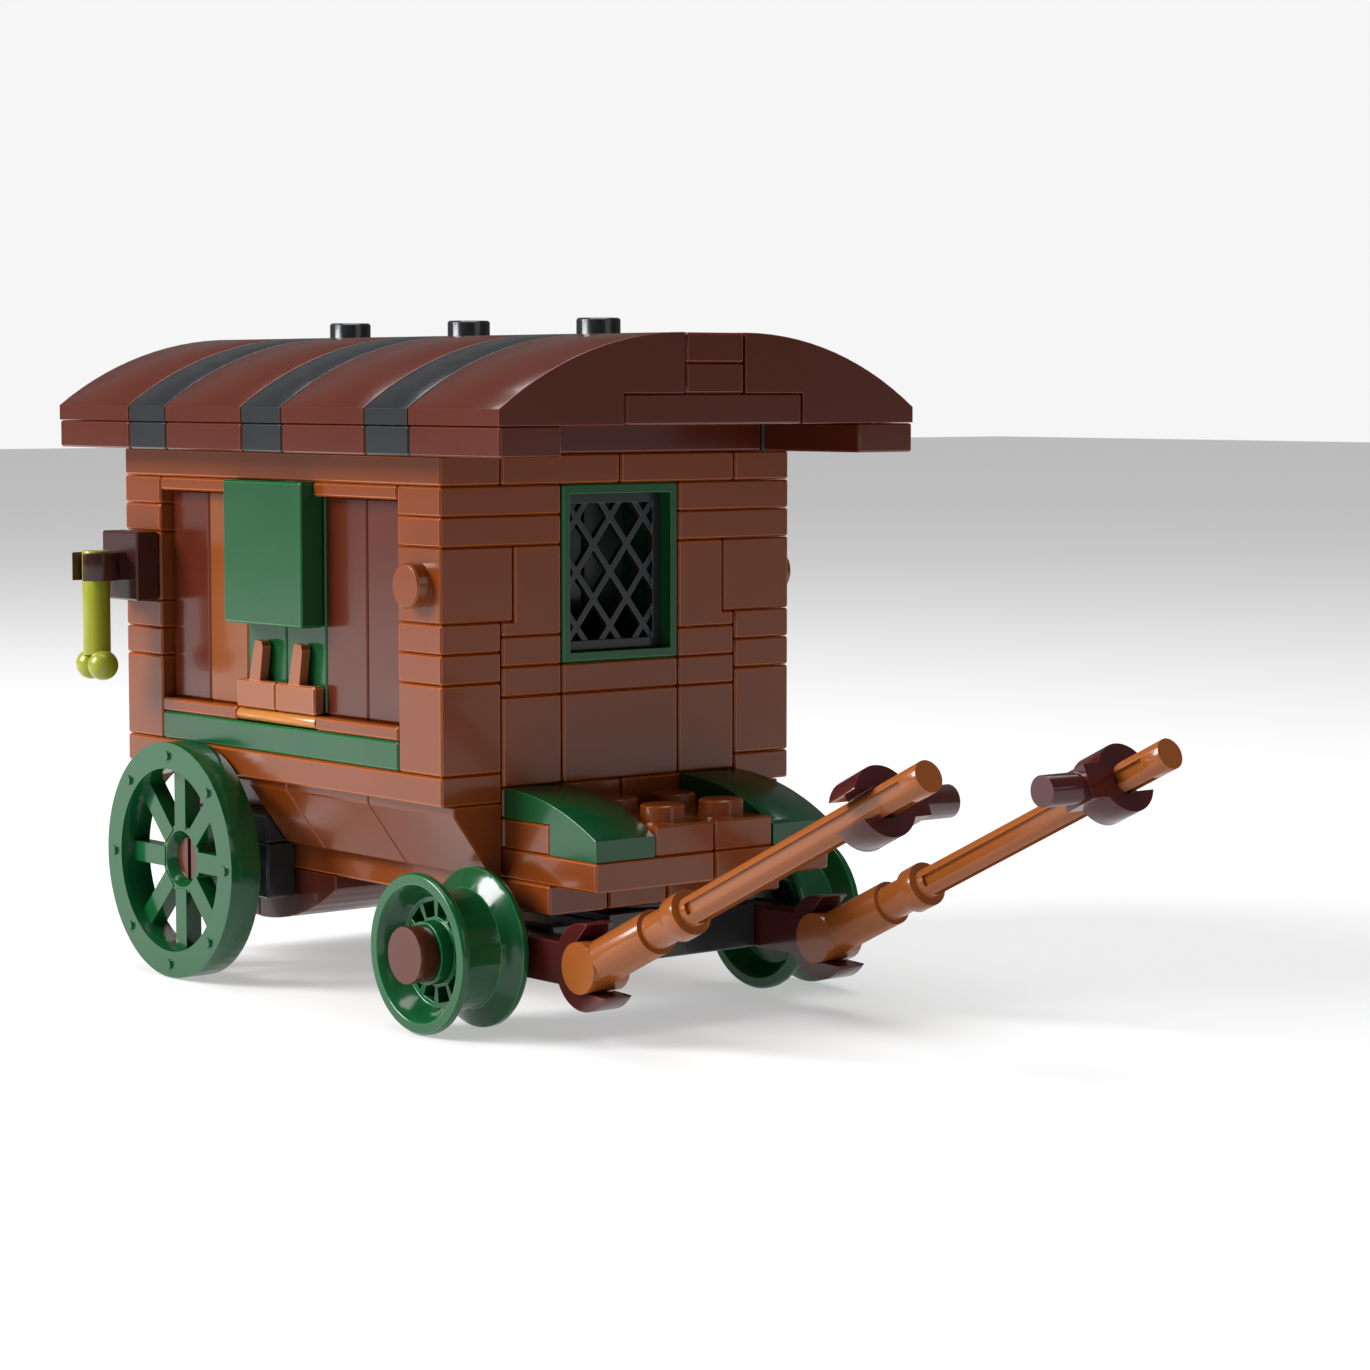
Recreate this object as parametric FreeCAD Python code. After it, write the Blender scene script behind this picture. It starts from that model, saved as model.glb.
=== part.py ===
import FreeCAD, Part
import math
import os

# A peddler's wagon built of toy bricks, in millimetres.
# +X points forward, towards the animal, +Y to the wagon's left, +Z up.
# The origin lies on the floor, under the middle of the body.

V = FreeCAD.Vector

# ---- the brick system -------------------------------------------------------
STUD = 8.0            # pitch of the studs
PLATE = 3.2           # height of a plate
BRICK = 3 * PLATE     # height of a brick
HALF = PLATE / 2      # height of a half plate
STUD_D = 4.8          # diameter of a stud
STUD_H = 1.8          # height of a stud
BAR_D = 3.2           # diameter of a bar
PLAY = 0.1            # air that a piece leaves on each upright side
SEAM = 0.03           # air that a piece leaves above and below
EDGE = 0.2            # bevel along a piece's edges
RUNNING = 0.06        # radial clearance of what turns or slides

# ---- the wagon's own sizes --------------------------------------------------
BODY_STUDS = 8        # length of the body
BODY_WIDE = 6         # width of the body
CORE_WIDE = 4         # width of the floor between the side walls
REAR_OVER = 1         # studs that the roof hangs over the back
FRONT_OVER = 2        # studs that the roof hangs over the driver
SIDE_OVER = 0.5       # studs that the roof hangs over each side
BOARD_H = 24.0        # height of a side board
BOARD_T = 3.2         # thickness of a side board
RECESS = 1.6          # depth of the boards behind the side's face
REAR_D = 27.0         # diameter of a rear wheel
REAR_W = 3.8          # width of a rear rim
FRONT_D = 17.0        # diameter of a front wheel
FRONT_W = 8.6         # width of a front wheel
REAR_TRACK = 56.4     # width over the rear wheels' outer faces
FRONT_TRACK = 54.8    # width over the front wheels' outer faces
REAR_DROP = 10.0      # rear axle below the base of the body
AXLE_D = 3.2          # diameter of the front axle
PIN_D = 4.8           # diameter of a rear wheel's pin
SHAFT_D = 3.2         # diameter of a shaft's rod
SHAFT_RISE = 25.6     # angle of the shafts above the floor, degrees
SHAFT_LONG = 55.2     # length of a shaft from its pivot to its tip
PITCH_DOWN = 28.0     # degrees that a shaft drops from there
PITCH_UP = 20.0       # degrees that a shaft lifts from there

# ---- places that follow from them -------------------------------------------
BASE = REAR_D / 2 + REAR_DROP            # underside of the body's base band
HX = BODY_STUDS * STUD / 2               # half length of the body
HY = BODY_WIDE * STUD / 2                # half width of the body
CY = CORE_WIDE * STUD / 2                # half width of the floor
BAND_TOP = BASE + PLATE                  # top of the base band
BOARD_Z = BAND_TOP + PLATE + HALF        # foot of the side boards
BOARD_TOP = BOARD_Z + BOARD_H            # top of the side boards
CROWN = BOARD_TOP + HALF                 # foot of the band under the roof
EAVES = CROWN + PLATE                    # top of that band
ROOF_REAR = -HX - REAR_OVER * STUD
ROOF_FRONT = HX + FRONT_OVER * STUD
ROOF_Y = HY + SIDE_OVER * STUD
ROOF_Z = EAVES + PLATE                   # foot of the curved slopes
ROOF_TOP = ROOF_Z + BRICK
DECK_Z = BASE - STUD                     # underside of the deck
DECK_FRONT = HX + 2 * STUD
REAR_AXLE_X = -2 * STUD
FRONT_AXLE_X = HX
FRONT_AXLE_Z = FRONT_D / 2
REAR_WHEEL_Y = REAR_TRACK / 2            # outer face of a rear wheel
FRONT_WHEEL_Y = FRONT_TRACK / 2          # outer face of a front wheel
CLAW_Y = CY                              # middle of a claw
CLAW_X = HX + 2 * STUD                   # pivot of the shafts
CLAW_Z = BASE - 15.4

nodes = {}


def put(name, *shapes):
    """Add solids to the node of that name."""
    nodes.setdefault(name, []).extend(shapes)


def mirrored(shape):
    """The same shape on the other side of the wagon."""
    return shape.mirror(V(0, 0, 0), V(0, 1, 0))


def put_both(name, *shapes):
    """Add solids to a node, on both sides of the wagon."""
    for shape in shapes:
        put(name, shape, mirrored(shape))


def raw(x0, x1, y0, y1, z0, z1):
    """A plain box between two corners."""
    return Part.makeBox(x1 - x0, y1 - y0, z1 - z0, V(x0, y0, z0))


def block(x0, x1, y0, y1, z0, z1):
    """A piece that fills its cell of the grid, less its play, with bevelled edges."""
    box = raw(x0 + PLAY, x1 - PLAY, y0 + PLAY, y1 - PLAY, z0 + SEAM, z1 - SEAM)
    return box.makeChamfer(EDGE, box.Edges)


def rod(radius, length, start, direction):
    """A round bar."""
    return Part.makeCylinder(radius, length, start, direction)


def stud(x, y, z, direction=V(0, 0, 1)):
    """One stud, standing on a face."""
    shank = rod(STUD_D / 2, STUD_H, V(x, y, z), direction)
    rim = max(shank.Edges, key=lambda e: e.CenterOfMass.dot(direction) if e.Closed else -1e9)
    return shank.makeChamfer(EDGE, [rim])


def prism(points, y0, y1):
    """An outline of (x, z) points or edges, carried from y0 to y1."""
    wire = Part.makePolygon([V(x, y0, z) for x, z in points + points[:1]])
    return Part.Face(wire).extrude(V(0, y1 - y0, 0))


def rounded_top(length, low, high, width):
    """A curved slope: flat at its tall end, x = 0, and falling along a round arc.

    Its foot is at z = 0, and it is centred on y = 0.
    """
    drop = high - low
    radius = (length ** 2 + drop ** 2) / (2 * drop)
    half = math.asin(length / radius) / 2
    middle = V(radius * math.sin(half), 0, high - radius + radius * math.cos(half))
    arc = Part.Arc(V(0, 0, high), middle, V(length, 0, low)).toShape()
    rest = Part.makePolygon([V(length, 0, low), V(length, 0, 0), V(0, 0, 0), V(0, 0, high)])
    face = Part.Face(Part.Wire([arc] + rest.Edges))
    solid = face.extrude(V(0, width, 0))
    solid.translate(V(0, -width / 2, 0))
    return solid


# ---- floor, deck and seats ---------------------------------------------------
def build_floor():
    """Deck and plates below it, the floor on the deck and the driver's seat."""
    for side in (-1, 0):
        y0 = side * CY
        y1 = y0 + CY
        put("deck", block(-HX, DECK_FRONT, y0, y1, DECK_Z, DECK_Z + PLATE))
        put("cabin_floor", block(-HX, HX, y0, y1, DECK_Z + PLATE, DECK_Z + 2 * PLATE))
    for k in range(4):
        y0 = -CY + k * CY / 2
        put("under_plates", block(-HX, HX + STUD, y0, y0 + CY / 2, DECK_Z - PLATE, DECK_Z))
    for y0 in (-STUD, 0):
        z1 = DECK_Z + 2 * PLATE
        seat = block(HX, DECK_FRONT, y0, y0 + STUD, DECK_Z + PLATE, z1)
        for x in (HX + STUD / 2, HX + 3 * STUD / 2):
            seat = seat.fuse(stud(x, y0 + STUD / 2, z1 - SEAM))
        put("seat_plates", seat)
    z0 = DECK_Z + PLATE
    put_both("side_plates", block(HX, HX + STUD, -2 * STUD, -STUD, z0, z0 + PLATE))
    cap = rounded_top(2 * STUD - PLAY, 2.2, 2 * PLATE - SEAM, STUD - 2 * PLAY)
    cap = cap.cut(raw(-1, STUD, -STUD, STUD, -1, PLATE + SEAM))
    cap.translate(V(HX, -1.5 * STUD, z0 + SEAM))
    put_both("seat_side_slopes", cap)


# ---- walls --------------------------------------------------------------------
def build_walls():
    """End walls, corner columns and the bands below and above the side walls."""
    put_both("base_bands", block(-HX, HX, -HY, -CY, BASE, BAND_TOP))
    put_both("crown_bands", block(-HX, HX, -HY, -CY, CROWN, EAVES))
    for end, name in ((1, "front"), (-1, "rear")):
        x0, x1 = sorted((end * HX, end * (HX - STUD)))
        foot = DECK_Z + 2 * PLATE
        put(name + "_sill", block(x0, x1, -CY, 0, foot, foot + PLATE),
            block(x0, x1, 0, CY, foot, foot + PLATE))
        z = foot + PLATE
        put(name + "_sill", block(x0, x1, -STUD, STUD, z, z + BRICK),
            block(x0, x1, -STUD, STUD, z + BRICK, z + BRICK + PLATE))
        window_z = z + BRICK + PLATE
        tall = z + BRICK + 2 * PLATE
        for y0 in (-CY, 0):
            put(name + "_sill", block(x0, x1, y0, y0 + CY, CROWN, EAVES))
        put_both(name + "_wall",
                 block(x0, x1, -CY, -STUD, z, z + BRICK),
                 block(x0, x1, -CY, -STUD, z + BRICK, window_z),
                 block(x0, x1, -CY, -STUD, window_z, tall),
                 turned_neighbour(x0, x1, tall))
        build_window(name, x0, x1, window_z, CROWN)
        upper = CROWN - 2 * PLATE
        for z0 in (upper, upper + PLATE):
            put_both(name + "_wall", block(x0, x1, -HY, -STUD, z0, z0 + PLATE))
        side = sorted((x0, x1))
        z0 = BAND_TOP
        put_both("corner_columns",
                 block(side[0], side[1], -HY, -CY, z0, z0 + BRICK),
                 block(side[0], side[1], -HY, -CY, z0 + BRICK, z0 + BRICK + PLATE),
                 block(side[0], side[1], -HY, -CY, z0 + BRICK + PLATE, z0 + BRICK + 2 * PLATE))
        z0 += BRICK + 2 * PLATE
        turned = block(side[0], side[1], -HY, -HY + BRICK, z0, upper)
        centre = (side[0] + side[1]) / 2
        knob = stud(centre, -HY + PLAY, (z0 + upper) / 2, V(0, -1, 0))
        put_both("turned_blocks", turned.fuse(knob))


def turned_neighbour(x0, x1, z0):
    """The brick beside a turned block, with a low lug that closes the gap under that block."""
    edge = -CY + BRICK - STUD
    brick = block(x0, x1, edge, -STUD, z0, z0 + BRICK)
    lug = block(x0, x1, -CY, edge + STUD / 2, z0, z0 + BRICK - STUD)
    return brick.fuse(lug).removeSplitter()


def build_window(name, x0, x1, z0, z1):
    """A window frame two studs wide, with a lattice of crossed bars in it."""
    border = 1.1
    lattice_x = (x0 + x1) / 2 + (1.6 if name == "front" else -1.6)
    frame = block(x0, x1, -STUD, STUD, z0, z1)
    frame = frame.cut(raw(x0 - 1, x1 + 1, -STUD + border, STUD - border, z0 + border, z1 - border))
    put(name + "_window", frame)
    air = 0.05
    pane = raw(lattice_x - 0.5, lattice_x + 0.5, -STUD + border + air, STUD - border - air,
               z0 + border + air, z1 - border - air)
    inner = raw(lattice_x - 1, lattice_x + 1, -STUD + 2 * border, STUD - 2 * border,
                z0 + 2 * border, z1 - 2 * border)
    rim = pane.cut(inner)
    middle_z = (z0 + z1) / 2
    pitch = 4.6
    bars = []
    for turn in (-1, 1):
        for k in range(-4, 5):
            bar = raw(lattice_x - 0.4, lattice_x + 0.4, -20, 20, -0.35, 0.35)
            bar.rotate(V(0, 0, 0), V(1, 0, 0), turn * 52)
            bar.translate(V(0, k * pitch, middle_z))
            bars.append(bar)
    web = bars[0].multiFuse(bars[1:]).common(pane)
    put(name + "_lattice", rim.fuse(web).removeSplitter())


# ---- side stalls ----------------------------------------------------------------
def build_stalls():
    """The boarded side walls, with their rails, tooth plates and hung tiles."""
    face = -HY + RECESS
    inner = STUD * 3
    put_both("stall_sills", block(-inner, inner, -HY, -CY, BAND_TOP, BAND_TOP + PLATE))
    colours = ("dark_boards", "brown_boards", "green_boards",
               "green_boards", "dark_boards", "dark_boards")
    for k, name in enumerate(colours):
        x0 = -inner + k * STUD
        put_both(name, block(x0, x0 + STUD, face, face + BOARD_T, BOARD_Z, BOARD_TOP))
    for z0 in (BOARD_Z - HALF, BOARD_TOP):
        for x0 in (-inner, STUD):
            put_both("stall_rails", block(x0, x0 + 2 * STUD, -HY, -HY + BOARD_T + RECESS,
                                          z0, z0 + HALF))
    bar_r = 0.7
    put_both("stall_bars", rod(bar_r, 2 * STUD - 2 * PLAY,
                               V(-STUD + PLAY, -HY + bar_r + PLAY, BOARD_Z - HALF / 2), V(1, 0, 0)))
    for x0 in (-STUD, 0):
        plate = block(x0, x0 + STUD, -HY, face, BOARD_Z, BOARD_Z + PLATE)
        put_both("tooth_plates", plate.fuse(tooth(x0 + 0.45 * STUD, face)))
    tile_z = CROWN - 2 * STUD
    put_both("hung_tiles", block(-STUD, STUD, face - PLATE, face, tile_z, CROWN))


def tooth(x, face):
    """A claw that leans forward as it rises from its plate."""
    z0 = BOARD_Z + PLATE - 0.3
    outline = [(x - 1.1, z0), (x + 1.1, z0), (x + 1.8, z0 + 4.1), (x + 1.5, z0 + 4.7),
               (x + 0.3, z0 + 4.8), (x, z0 + 4.2)]
    return prism(outline, -HY + 2 * PLAY, face - 2 * PLAY)


# ---- roof --------------------------------------------------------------------
def roof_bands():
    """Colour and extent of each band, from the back to the front."""
    x = ROOF_REAR
    for colour, studs in (("brown", 2), ("black", 1), ("brown", 2), ("black", 1),
                          ("brown", 2), ("black", 1), ("brown", 2)):
        yield colour, x, x + studs * STUD
        x += studs * STUD


def build_roof():
    """Curved slopes on both sides, plates along the middle and plates under the edges."""
    run = ROOF_Y - STUD / 2
    lip = 1.7
    for colour, x0, x1 in roof_bands():
        width = x1 - x0 - 2 * PLAY
        slope = rounded_top(run - PLAY, lip, BRICK - SEAM, width)
        slope = slope.cut(raw(-1, STUD, -width, width, -1, PLATE + SEAM))
        slope.rotate(V(0, 0, 0), V(0, 0, 1), -90)
        slope.translate(V((x0 + x1) / 2, -STUD / 2 - PLAY, ROOF_Z + SEAM))
        put_both(colour + "_roof_slopes", slope)
        put(colour + "_roof_middle",
            block(x0, x1, -1.5 * STUD, 1.5 * STUD, ROOF_Z, ROOF_Z + PLATE),
            block(x0, x1, -STUD / 2, STUD / 2, ROOF_Z + PLATE, ROOF_Z + 2 * PLATE))
        top = block(x0, x1, -STUD / 2, STUD / 2, ROOF_Z + 2 * PLATE, ROOF_TOP)
        if colour == "black":
            top = top.fuse(stud((x0 + x1) / 2, 0, ROOF_TOP - SEAM))
        put(colour + "_roof_middle", top)
        put_both(colour + "_roof_edges",
                 block(x0, x1, -ROOF_Y, -ROOF_Y + STUD, EAVES, ROOF_Z))
    for x0 in (-HX, HX - STUD):
        put("roof_cross_plates",
            block(x0, x0 + STUD, -ROOF_Y + STUD, ROOF_Y - STUD, EAVES, ROOF_Z))


# ---- underside ---------------------------------------------------------------
def build_skirts():
    """Small sloped pieces, turned on their side, along the foot of the body."""
    top_out = 2 * PLATE
    lip = 1.3
    for x0, x1 in ((-STUD, 0), (0, 2 * STUD), (2 * STUD, 4 * STUD)):
        outline = [(-CY - PLAY, BASE - SEAM), (-CY - top_out, BASE - SEAM),
                   (-CY - top_out, BASE - 1.0), (-CY - lip, DECK_Z + SEAM),
                   (-CY - PLAY, DECK_Z + SEAM)]
        wire = Part.makePolygon([V(x0 + PLAY, y, z) for y, z in outline + outline[:1]])
        skirt = Part.Face(wire).extrude(V(x1 - x0 - 2 * PLAY, 0, 0))
        put_both("skirts", skirt.makeChamfer(EDGE * 0.7, skirt.Edges))


def build_belly():
    """The low block under the floor, with a rounded front, and the rear axle's carriers."""
    top = DECK_Z - PLATE
    deep = 2 * PLATE
    nose = rounded_top(2 * STUD - PLAY, 1.5, deep - SEAM, CY - 2 * PLAY)
    nose.rotate(V(0, 0, 0), V(1, 0, 0), 180)
    for y in (-CY / 2, CY / 2):
        front = nose.copy()
        front.translate(V(-2 * STUD, y, top - SEAM))
        put("belly_nose", front)
        put("belly_block", block(-HX, -2 * STUD, y - CY / 2, y + CY / 2, top - deep, top))
    x0, x1 = REAR_AXLE_X - STUD, REAR_AXLE_X + STUD
    out = CY + STUD / 2
    put_both("axle_carriers", block(x0, x1, -out, -CY, DECK_Z, DECK_Z + PLATE),
             block(x0, x1, -out, -CY, DECK_Z - deep, DECK_Z))
    axle_z = REAR_D / 2
    length = REAR_WHEEL_Y - 2.7 - out
    pin = rod(PIN_D / 2, length, V(REAR_AXLE_X, -out + PLAY, axle_z), V(0, -1, 0))
    slot = raw(REAR_AXLE_X - 0.35, REAR_AXLE_X + 0.35, -out - length + PLAY, -out - length + 2.5,
               axle_z - 4, axle_z + 4)
    collar = rod(PIN_D / 2 + 0.6, 0.5, V(REAR_AXLE_X, -out + PLAY, axle_z), V(0, -1, 0))
    put_both("rear_wheel_pins", pin.cut(slot).fuse(collar))


# ---- wheels ------------------------------------------------------------------
def rear_wheel():
    """A spoked wheel with eight spokes, about its own centre, outer face towards -y."""
    r = REAR_D / 2
    rim_in = r - 3.0
    wheel = rod(r, REAR_W, V(0, 0, 0), V(0, 1, 0)).cut(rod(rim_in, REAR_W, V(0, 0, 0), V(0, 1, 0)))
    hub_r = 3.95
    hub_front = 1.7
    hub_back = REAR_WHEEL_Y - CY - STUD / 2 - 0.6
    hub = rod(hub_r, hub_back - hub_front, V(0, hub_front, 0), V(0, 1, 0))
    parts = [hub]
    for k in range(8):
        spoke = raw(-1.15, 1.15, 1.6, 3.6, hub_r - 0.5, rim_in + 0.5)
        spoke.rotate(V(0, 0, 0), V(0, 1, 0), k * 45)
        parts.append(spoke)
    wheel = wheel.multiFuse(parts)
    cone = Part.makeCone(hub_r - 0.7, 2.4 + RUNNING, 1.6, V(0, hub_front, 0), V(0, 1, 0))
    bore = rod(PIN_D / 2 + RUNNING, 12, V(0, 0, 0), V(0, 1, 0))
    wheel = wheel.cut(cone).cut(bore)
    rivets = []
    for k in range(8):
        rivet = rod(0.55, 0.7, V(0, -0.3, r - 1.5), V(0, 1, 0))
        rivet.rotate(V(0, 0, 0), V(0, 1, 0), k * 45)
        rivets.append(rivet)
    return wheel.multiFuse(rivets)


def front_wheel():
    """A small spoked wheel with two flanges, outer face towards -y."""
    r = FRONT_D / 2
    w = FRONT_W
    drum = r - 2.1
    dish = 2.6
    well = drum - 0.6
    hub_r = 3.3
    outline = [(hub_r, dish), (well, dish), (r - 1.2, 0), (r - 0.2, 0), (r, 0.3), (r, 0.9),
               (drum, 2.2), (drum, w - 2.2), (r, w - 0.9), (r, w - 0.3), (r - 0.2, w),
               (r - 1.2, w), (well, w - dish), (hub_r, w - dish)]
    wire = Part.makePolygon([V(x, y, 0) for x, y in outline + outline[:1]])
    wheel = Part.Face(wire).revolve(V(0, 0, 0), V(0, 1, 0), 360)
    windows = []
    for k in range(12):
        gap = prism([(0.75, hub_r + 0.4), (well * math.sin(math.radians(10)), well - 0.5),
                     (-well * math.sin(math.radians(10)), well - 0.5), (-0.75, hub_r + 0.4)],
                    dish - 1, w - dish - 1.2)
        gap.rotate(V(0, 0, 0), V(0, 1, 0), (k + 0.5) * 30)
        windows.append(gap)
    wheel = wheel.cut(windows[0].multiFuse(windows[1:]))
    hub = rod(hub_r + 0.05, w - 1.6, V(0, 1.0, 0), V(0, 1, 0))
    recess = rod(hub_r - 0.45, 1.0, V(0, 0.5, 0), V(0, 1, 0))
    bore = rod(AXLE_D / 2 + RUNNING, w + 2, V(0, -1, 0), V(0, 1, 0))
    return wheel.fuse(hub).cut(recess).cut(bore)


def build_wheels():
    """Four wheels, each a node and a body of its own."""
    rear = V(REAR_AXLE_X, -REAR_WHEEL_Y, REAR_D / 2)
    front = V(FRONT_AXLE_X, -FRONT_WHEEL_Y, FRONT_AXLE_Z)
    for name, make, place in (("rear_wheel", rear_wheel, rear), ("front_wheel", front_wheel, front)):
        wheel = make()
        wheel.translate(place)
        put(name + "_right", wheel)
        put(name + "_left", mirrored(wheel))


# ---- fore-carriage -------------------------------------------------------------
def build_fore_carriage():
    """Turntable, axle beam, front axle with its caps and the claws that hold the shafts."""
    top = DECK_Z - PLATE
    x = FRONT_AXLE_X
    disc_h = 0.5
    put("turntable_top", rod(7.4, disc_h, V(x, 0, top - disc_h - SEAM), V(0, 0, 1)))
    plate_top = top - disc_h - 3 * SEAM
    beam_top = FRONT_AXLE_Z + 2.4
    plate = raw(x - STUD + PLAY, x + STUD - PLAY, -STUD + PLAY, STUD - PLAY, beam_top, plate_top)
    put("turntable_base", plate)
    beam_y = CLAW_Y - 1.9
    beam = block(x - 6, x + 6, -beam_y, beam_y, FRONT_AXLE_Z - 2.6, beam_top)
    put("axle_beam", beam.cut(rod(AXLE_D / 2, 2 * beam_y, V(x, -beam_y, FRONT_AXLE_Z), V(0, 1, 0))))
    axle = rod(AXLE_D / 2, 2 * FRONT_WHEEL_Y, V(x, -FRONT_WHEEL_Y, FRONT_AXLE_Z), V(0, 1, 0))
    for side in (-1, 1):
        start = V(x, side * (FRONT_WHEEL_Y - 0.9), FRONT_AXLE_Z)
        axle = axle.fuse(rod(3.0, 2.3, start, V(0, side, 0)))
    put("front_axle", axle)
    put_both("shaft_claws", claw())


def claw():
    """Two jaws that hold a shaft's cross barrel, on a block beside the axle beam."""
    half = 1.8
    inner = 2.7 + RUNNING
    outer = 4.6
    y0 = -CLAW_Y - half
    ring = rod(outer, 2 * half, V(0, y0, 0), V(0, 1, 0))
    ring = ring.cut(rod(inner, 2 * half, V(0, y0, 0), V(0, 1, 0)))
    low = math.radians(SHAFT_RISE - PITCH_DOWN)
    high = math.radians(SHAFT_RISE + PITCH_UP)
    gap = 2.4 + 0.15
    far = 12.0
    a = (gap * math.sin(low), -gap * math.cos(low))
    b = (-gap * math.sin(high), gap * math.cos(high))
    c = (b[0] + far * math.cos(high), b[1] + far * math.sin(high))
    d = (a[0] + far * math.cos(low), a[1] + far * math.sin(low))
    ring = ring.cut(prism([a, d, (far, far), c, b], y0 - 1, y0 + 2 * half + 1))
    neck = raw(-14.4, -inner - 0.6, y0, y0 + 2 * half, -2.2, 2.2)
    neck = neck.cut(rod(inner + 0.4, 2 * half, V(0, y0, 0), V(0, 1, 0)))
    body = ring.fuse(neck)
    body.translate(V(CLAW_X, 0, CLAW_Z))
    return body


# ---- shafts --------------------------------------------------------------------
def shaft():
    """One shaft: a cross barrel, a socket, a collar and a fluted rod."""
    along = V(1, 0, 0)
    barrel = rod(2.7, 4.8, V(0, -2.4, 0), V(0, 1, 0))
    parts = [rod(2.4, 11.0, V(0, 0, 0), along),
             rod(1.9, 5.0, V(10.5, 0, 0), along),
             rod(2.4, 2.2, V(14.9, 0, 0), along),
             rod(SHAFT_D / 2, SHAFT_LONG - 16, V(16, 0, 0), along)]
    body = barrel.multiFuse(parts)
    flutes = []
    for k in range(4):
        flute = raw(18.2, SHAFT_LONG - 2.5, -0.6, 0.6, SHAFT_D / 2 - 0.45, SHAFT_D)
        flute.rotate(V(0, 0, 0), along, k * 90)
        flutes.append(flute)
    body = body.cut(flutes[0].multiFuse(flutes[1:]))
    body.rotate(V(0, 0, 0), V(0, 1, 0), -SHAFT_RISE)
    body.translate(V(CLAW_X, -CLAW_Y, CLAW_Z))
    return body


def hitch():
    """The claw near a shaft's tip, whose pin points inwards to the harness."""
    half = 2.0
    inner = SHAFT_D / 2 + RUNNING
    outer = 3.6
    ring = rod(outer, 2 * half, V(-half, 0, 0), V(1, 0, 0))
    ring = ring.cut(rod(inner, 2 * half, V(-half, 0, 0), V(1, 0, 0)))
    ring = ring.cut(raw(-half - 1, half + 1, -5, -0.9, -1.5, 1.5))
    neck = raw(-half, half, inner + 0.5, outer + 1.6, -1.8, 1.8)
    neck = neck.cut(rod(inner + 0.3, 2 * half, V(-half, 0, 0), V(1, 0, 0)))
    pin = rod(BAR_D / 2, 5.6, V(0, outer + 0.6, 0), V(0, 1, 0))
    body = ring.fuse(neck).fuse(pin)
    body.translate(V(SHAFT_LONG - 8.5, 0, 0))
    body.rotate(V(0, 0, 0), V(0, 1, 0), -SHAFT_RISE)
    body.translate(V(CLAW_X, -CLAW_Y, CLAW_Z))
    return body


def build_shafts():
    """Both shafts with their hitch claws."""
    put("shaft_right", shaft())
    put("shaft_left", mirrored(shaft()))
    put("hitch_claw_right", hitch())
    put("hitch_claw_left", mirrored(hitch()))


# ---- bone charm ----------------------------------------------------------------
def build_charm():
    """A short bone that hangs in a clip on the rear column."""
    z = (BAND_TOP + BRICK + 2 * PLATE + CROWN - 2 * PLATE) / 2
    x = -HX + STUD / 2
    face = -HY
    plate = block(x - STUD / 2, x + STUD / 2, face - PLATE, face, z - STUD / 2, z + STUD / 2)
    plate = plate.cut(rod(STUD_D / 2 + 0.02, STUD_H + 0.2, V(x, face + PLAY, z), V(0, -1, 0)))
    bar_r = 1.6
    bar_y = face - PLATE - 3.0
    clip = rod(bar_r + 1.1, PLATE, V(x, bar_y, z - HALF), V(0, 0, 1))
    clip = clip.fuse(raw(x - 1.6, x + 1.6, bar_y + 1.5, face - PLATE + PLAY + 0.3, z - HALF, z + HALF))
    clip = clip.cut(rod(bar_r + RUNNING, PLATE, V(x, bar_y, z - HALF), V(0, 0, 1)))
    clip = clip.cut(raw(x - 1.2, x + 1.2, bar_y - 5, bar_y, z - PLATE, z + PLATE))
    put("clip_plate", plate.fuse(clip))
    top = z + 1.8
    bone = rod(bar_r, 12.0, V(x, bar_y, top - 12.0), V(0, 0, 1))
    for side in (-1, 1):
        knob = Part.makeSphere(1.75, V(x + side * 1.35, bar_y, top - 13.2))
        bone = bone.fuse(knob)
    put("bone", bone)


def main():
    """Build every node and write it out."""
    build_floor()
    build_walls()
    build_stalls()
    build_roof()
    build_skirts()
    build_belly()
    build_wheels()
    build_fore_carriage()
    build_shafts()
    build_charm()
    os.makedirs("parts", exist_ok=True)
    for name, shapes in nodes.items():
        solids = [solid for shape in shapes for solid in shape.Solids]
        for solid in solids:
            if not solid.isValid():
                print("not valid:", name)
        shape = solids[0] if len(solids) == 1 else Part.makeCompound(solids)
        shape.exportStep("parts/" + name + ".step")
    print(len(nodes), "nodes")


main()
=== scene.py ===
import bpy
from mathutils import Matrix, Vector

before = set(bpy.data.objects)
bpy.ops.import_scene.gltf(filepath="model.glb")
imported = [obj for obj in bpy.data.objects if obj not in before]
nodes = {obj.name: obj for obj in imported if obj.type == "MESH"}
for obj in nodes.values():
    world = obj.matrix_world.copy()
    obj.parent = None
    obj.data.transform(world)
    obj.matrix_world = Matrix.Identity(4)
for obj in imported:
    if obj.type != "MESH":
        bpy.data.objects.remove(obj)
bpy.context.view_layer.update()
MM = 0.001


class Socket:
    """One output of a node tree, on which maths can be written as on a number."""

    def __init__(self, tree, out):
        self.tree, self.out = tree, out

    def _maths(self, operation, other):
        node = self.tree.nodes.new("ShaderNodeMath")
        node.operation = operation
        self.tree.links.new(self.out, node.inputs[0])
        node.inputs[1].default_value = other
        return Socket(self.tree, node.outputs[0])

    def __add__(self, other):
        return self._maths("ADD", other)

    def __mul__(self, other):
        return self._maths("MULTIPLY", other)

    def into(self, socket):
        """Drive a shader's socket with this output."""
        self.tree.links.new(self.out, socket)


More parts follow.
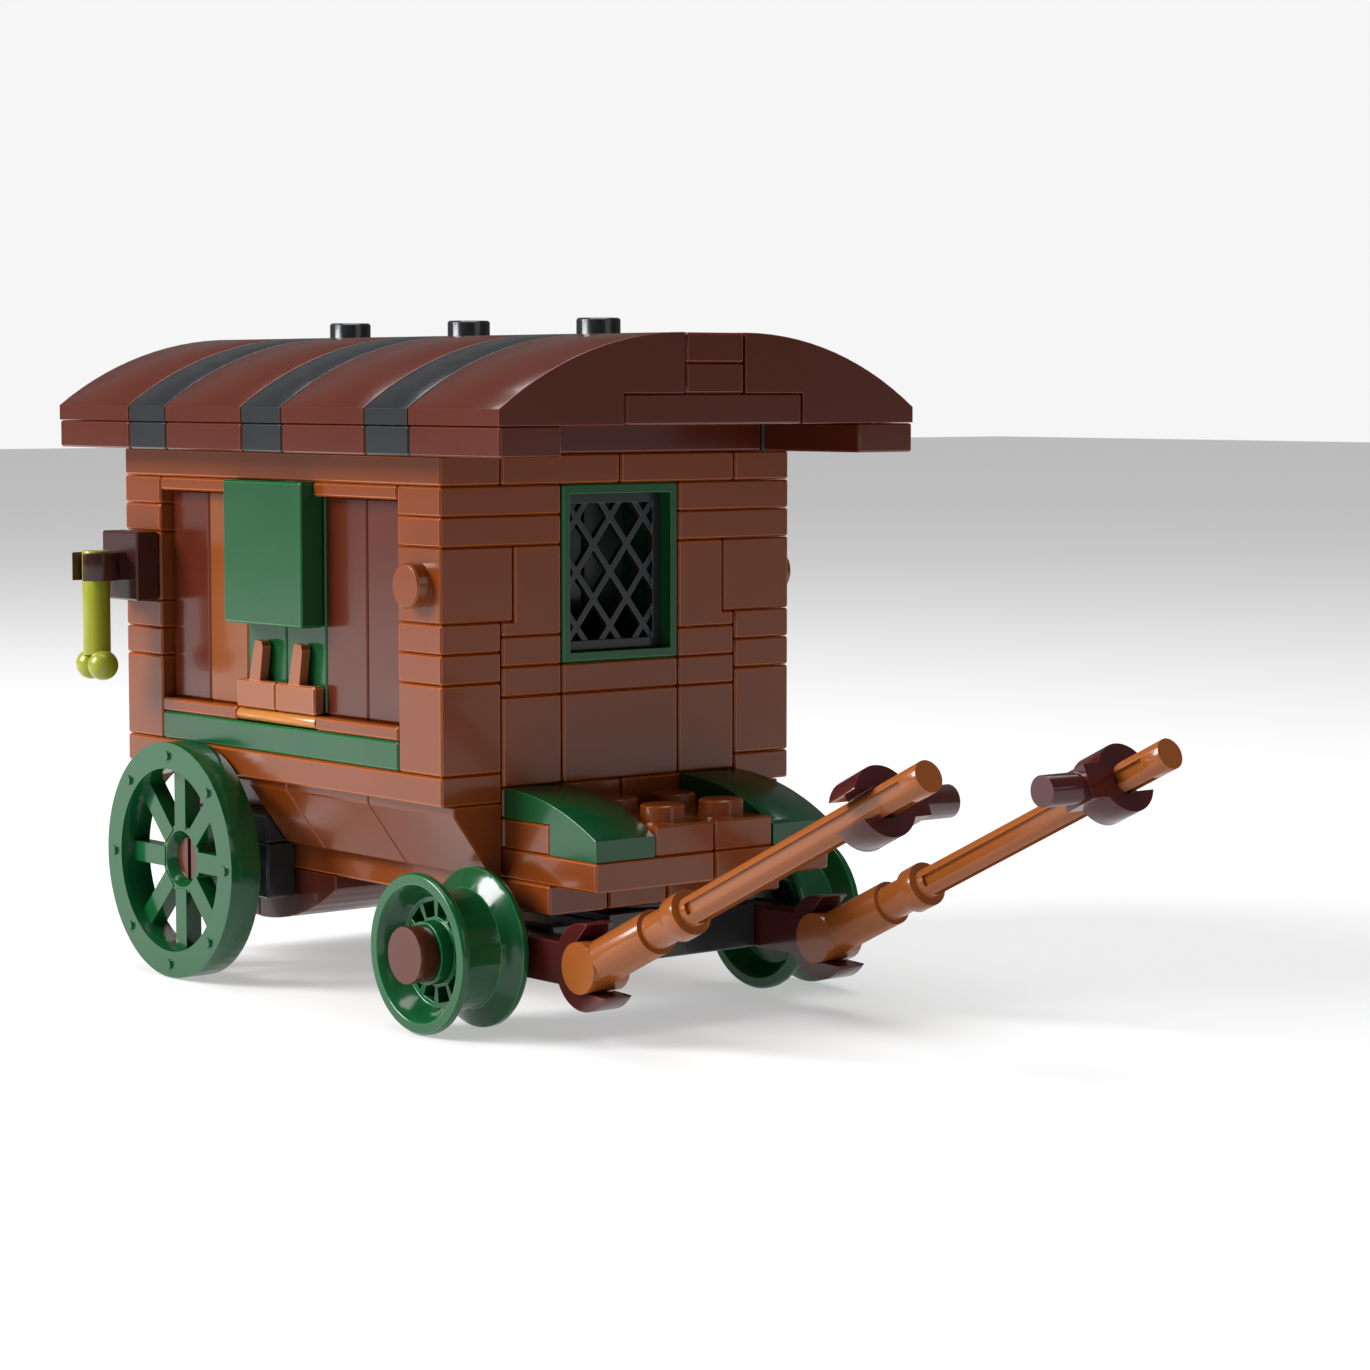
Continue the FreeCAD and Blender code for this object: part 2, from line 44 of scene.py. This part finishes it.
# ---- moulded plastic ----------------------------------------------------------
# Every piece is glossy plastic whose colour drifts a little from spot to spot.
# Its rounded edges carry a lighter copy of the same colour, a painted highlight standing in for
# light caught on the bevels.
COAT = 0.2
COAT_ROUGHNESS = 0.06
REFRACTION = 1.48
SPECULAR = 0.38
DRIFT_SCALE = 45
DRIFT = 0.1
GRAIN_SCALE = 160
GRAIN = 0.14
RIPPLE_SCALE = 110
RIPPLE_STRENGTH = 0.12
RIPPLE_HEIGHT = 0.1 * MM
# Painted highlight: how much lighter the edge copy of each colour is than the face.
HIGHLIGHT_GAIN = 1.3
HIGHLIGHT_LIFT = 10
EDGE_ROUND = 0.09 * MM
EDGE_ANGLE = 0.6
WELD_REACH = 0.004 * MM


def noise(tree, scale, detail=2.0):
    """Noise laid through the object's own space, as one socket."""
    place = tree.nodes.new("ShaderNodeTexCoord")
    grain = tree.nodes.new("ShaderNodeTexNoise")
    grain.inputs["Scale"].default_value = scale
    grain.inputs["Detail"].default_value = detail
    tree.links.new(place.outputs["Object"], grain.inputs["Vector"])
    return Socket(tree, grain.outputs["Fac"])


def plastic(name, srgb, roughness=0.22):
    """A glossy plastic and its lighter copy, the painted highlight on its rounded edges."""
    highlight_srgb = [min(255, HIGHLIGHT_GAIN * c + HIGHLIGHT_LIFT) for c in srgb]
    return moulded(name, srgb, roughness), moulded(name + "_painted_highlight", highlight_srgb, roughness)


def moulded(name, srgb, roughness):
    """Glossy moulded plastic: an even colour that drifts a little, with a faint ripple."""
    linear = [((c / 255 + 0.055) / 1.055) ** 2.4 if c > 10 else c / 255 / 12.92 for c in srgb]
    material = bpy.data.materials.new(name)
    material.use_nodes = True
    tree = material.node_tree
    shader = tree.nodes["Principled BSDF"]
    shader.inputs["Coat Weight"].default_value = COAT
    shader.inputs["Coat Roughness"].default_value = COAT_ROUGHNESS
    shader.inputs["IOR"].default_value = REFRACTION
    shader.inputs["Specular IOR Level"].default_value = SPECULAR
    drift = tree.nodes.new("ShaderNodeMix")
    drift.data_type = "RGBA"
    drift.inputs["A"].default_value = [c * (1 - DRIFT) for c in linear] + [1]
    drift.inputs["B"].default_value = [min(1, c * (1 + DRIFT) + 0.002) for c in linear] + [1]
    noise(tree, DRIFT_SCALE).into(drift.inputs["Factor"])
    tree.links.new(drift.outputs["Result"], shader.inputs["Base Color"])
    (noise(tree, GRAIN_SCALE, 4) * GRAIN + (roughness - GRAIN / 2)).into(shader.inputs["Roughness"])
    bump = tree.nodes.new("ShaderNodeBump")
    bump.inputs["Strength"].default_value = RIPPLE_STRENGTH
    bump.inputs["Distance"].default_value = RIPPLE_HEIGHT
    noise(tree, RIPPLE_SCALE).into(bump.inputs["Height"])
    tree.links.new(bump.outputs["Normal"], shader.inputs["Normal"])
    return material


def finish(materials, *names):
    """Give CAD nodes their plastic; the bevels on their edges take the painted highlight copy."""
    for name in names:
        piece = nodes[name]
        piece.data.materials.clear()
        for material in materials:
            piece.data.materials.append(material)
        weld = piece.modifiers.new("weld", "WELD")
        weld.merge_threshold = WELD_REACH
        soft = piece.modifiers.new("edge", "BEVEL")
        soft.width = EDGE_ROUND
        soft.segments = 2
        soft.angle_limit = EDGE_ANGLE
        # The bevel faces take the second material, the painted highlight.
        soft.material = 1
        soft.harden_normals = True


# ---- deck, floor and walls ----------------------------------------------------
# The body is built of warm brown bricks in level courses.
# Their bevelled edges carry a painted highlight, a thin lighter line along each joint.
brown = plastic("brown_plastic", (112, 50, 10))
finish(brown, "deck", "cabin_floor", "under_plates", "seat_plates", "side_plates",
       "base_bands", "front_sill", "rear_sill", "front_wall", "rear_wall",
       "corner_columns", "turned_blocks", "crown_bands", "stall_rails", "skirts")

# ---- boards ---------------------------------------------------------------------
# Each side is closed by six upright boards: the outer ones in two browns,
# and the middle pair in green behind the hung tile.
reddish = plastic("reddish_plastic", (76, 27, 12))
brown_board = plastic("board_plastic", (118, 58, 18))
finish(reddish, "dark_boards", "belly_nose", "belly_block")
finish(brown_board, "brown_boards")

# ---- green pieces ----------------------------------------------------------------
# Window frames, sills, hung tiles and the slopes beside the seat
# share one dark green.
green = plastic("green_plastic", (8, 70, 34))
finish(green, "seat_side_slopes", "front_window", "rear_window", "stall_sills",
       "green_boards", "hung_tiles")

# ---- roof ------------------------------------------------------------------------
# The roof carries reddish brown shells with three black bands across them.
# A bare stud stands on each black band.
black = plastic("black_plastic", (30, 32, 35), roughness=0.25)
finish(reddish, "brown_roof_slopes", "brown_roof_middle", "brown_roof_edges",
       "roof_cross_plates")
finish(black, "black_roof_slopes", "black_roof_middle", "black_roof_edges",
       "front_lattice", "rear_lattice")

# ---- undercarriage -----------------------------------------------------------------
# Black carriers hold the rear pins, and the black fore-carriage turns under the deck.
# Caps and pins are reddish brown, and the claws a deep red brown.
claw_red = plastic("claw_plastic", (66, 20, 20), roughness=0.16)
finish(black, "axle_carriers", "turntable_top", "turntable_base", "axle_beam")
finish(reddish, "rear_wheel_pins", "front_axle")
finish(claw_red, "shaft_claws", "hitch_claw_left", "hitch_claw_right")

# ---- wheels --------------------------------------------------------------------------
# Large spoked wheels at the back and small flanged ones in front, all green.
# Their plastic is a little smoother than the bricks'.
wheel_green = plastic("wheel_plastic", (8, 74, 36), roughness=0.18)
finish(wheel_green, "rear_wheel_left", "rear_wheel_right",
       "front_wheel_left", "front_wheel_right")

# ---- shafts ----------------------------------------------------------------------------
# Two light brown fluted rods reach forward and up from the claws.
shaft_brown = plastic("shaft_plastic", (138, 74, 28))
finish(shaft_brown, "shaft_left", "shaft_right")

# ---- small things on the sides -----------------------------------------------------------
# A golden bar lies under two brown plates with a tooth each, and an olive bone
# hangs in a dark clip at the rear corner.
golden = plastic("golden_plastic", (176, 112, 48))
bone = plastic("bone_plastic", (136, 140, 30), roughness=0.3)
tan = plastic("tooth_plastic", (132, 72, 40))
dark = plastic("clip_plastic", (52, 22, 18))
finish(golden, "stall_bars")
finish(tan, "tooth_plates")
finish(dark, "clip_plate")
finish(bone, "bone")

# ---- floor, light and camera -------------------------------------------------------------
# A flat pale floor, one strong light from the wagon's right and two weaker ones.
# The camera stands a little below the roof's top, ahead and to the right.
FLOOR_SIZE = 6
FLOOR_DROP = 0.1 * MM
FLOOR_GREY = 0.5
FLOOR_GLOW = 0.42
SKY_SEEN = 0.78
SKY_FILL = 0.14
LENS_LENGTH = 94.5
SENSOR_WIDTH = 36
CAMERA_PLACE = (0.3374, -0.2401, 0.0678)
CAMERA_AHEAD = (-0.7724, 0.6296, -0.0836)
WAGON_CENTRE = (0.01, 0, 0.035)

bpy.ops.mesh.primitive_plane_add(size=FLOOR_SIZE, location=(0, 0, -FLOOR_DROP))
floor = bpy.context.object
floor.name = "floor"
pale = bpy.data.materials.new("pale_floor")
pale.use_nodes = True
paint = pale.node_tree.nodes["Principled BSDF"]
paint.inputs["Base Color"].default_value = (FLOOR_GREY, FLOOR_GREY, FLOOR_GREY, 1)
paint.inputs["Roughness"].default_value = 0.8
paint.inputs["Emission Color"].default_value = (1, 1, 1, 1)
paint.inputs["Emission Strength"].default_value = FLOOR_GLOW
floor.data.materials.append(pale)

world = bpy.data.worlds.new("studio")
bpy.context.scene.world = world
world.use_nodes = True
sky = world.node_tree
backdrop = sky.nodes["Background"]
backdrop.inputs["Color"].default_value = (1, 1, 1, 1)
seen = Socket(sky, sky.nodes.new("ShaderNodeLightPath").outputs["Is Camera Ray"])
(seen * SKY_SEEN + SKY_FILL).into(backdrop.inputs["Strength"])

centre = Vector(WAGON_CENTRE)
for name, place, size, power in (("key", (-0.30, -0.55, 0.40), 0.35, 8.5),
                                 ("top", (-0.05, 0.05, 0.7), 0.5, 4.0),
                                 ("front", (0.6, 0.1, 0.25), 0.3, 0.35)):
    light = bpy.data.lights.new(name, "AREA")
    light.size = size
    light.energy = power
    lamp = bpy.data.objects.new(name, light)
    lamp.location = place
    lamp.rotation_euler = (centre - Vector(place)).to_track_quat("-Z", "Y").to_euler()
    bpy.context.collection.objects.link(lamp)

lens = bpy.data.cameras.new("camera")
lens.sensor_width = SENSOR_WIDTH
lens.lens = LENS_LENGTH
lens.clip_start = 0.01
camera = bpy.data.objects.new("camera", lens)
camera.location = CAMERA_PLACE
ahead = Vector(CAMERA_AHEAD)
camera.rotation_euler = ahead.to_track_quat("-Z", "Y").to_euler()
bpy.context.collection.objects.link(camera)
bpy.context.scene.camera = camera
bpy.context.scene.view_settings.view_transform = "Standard"
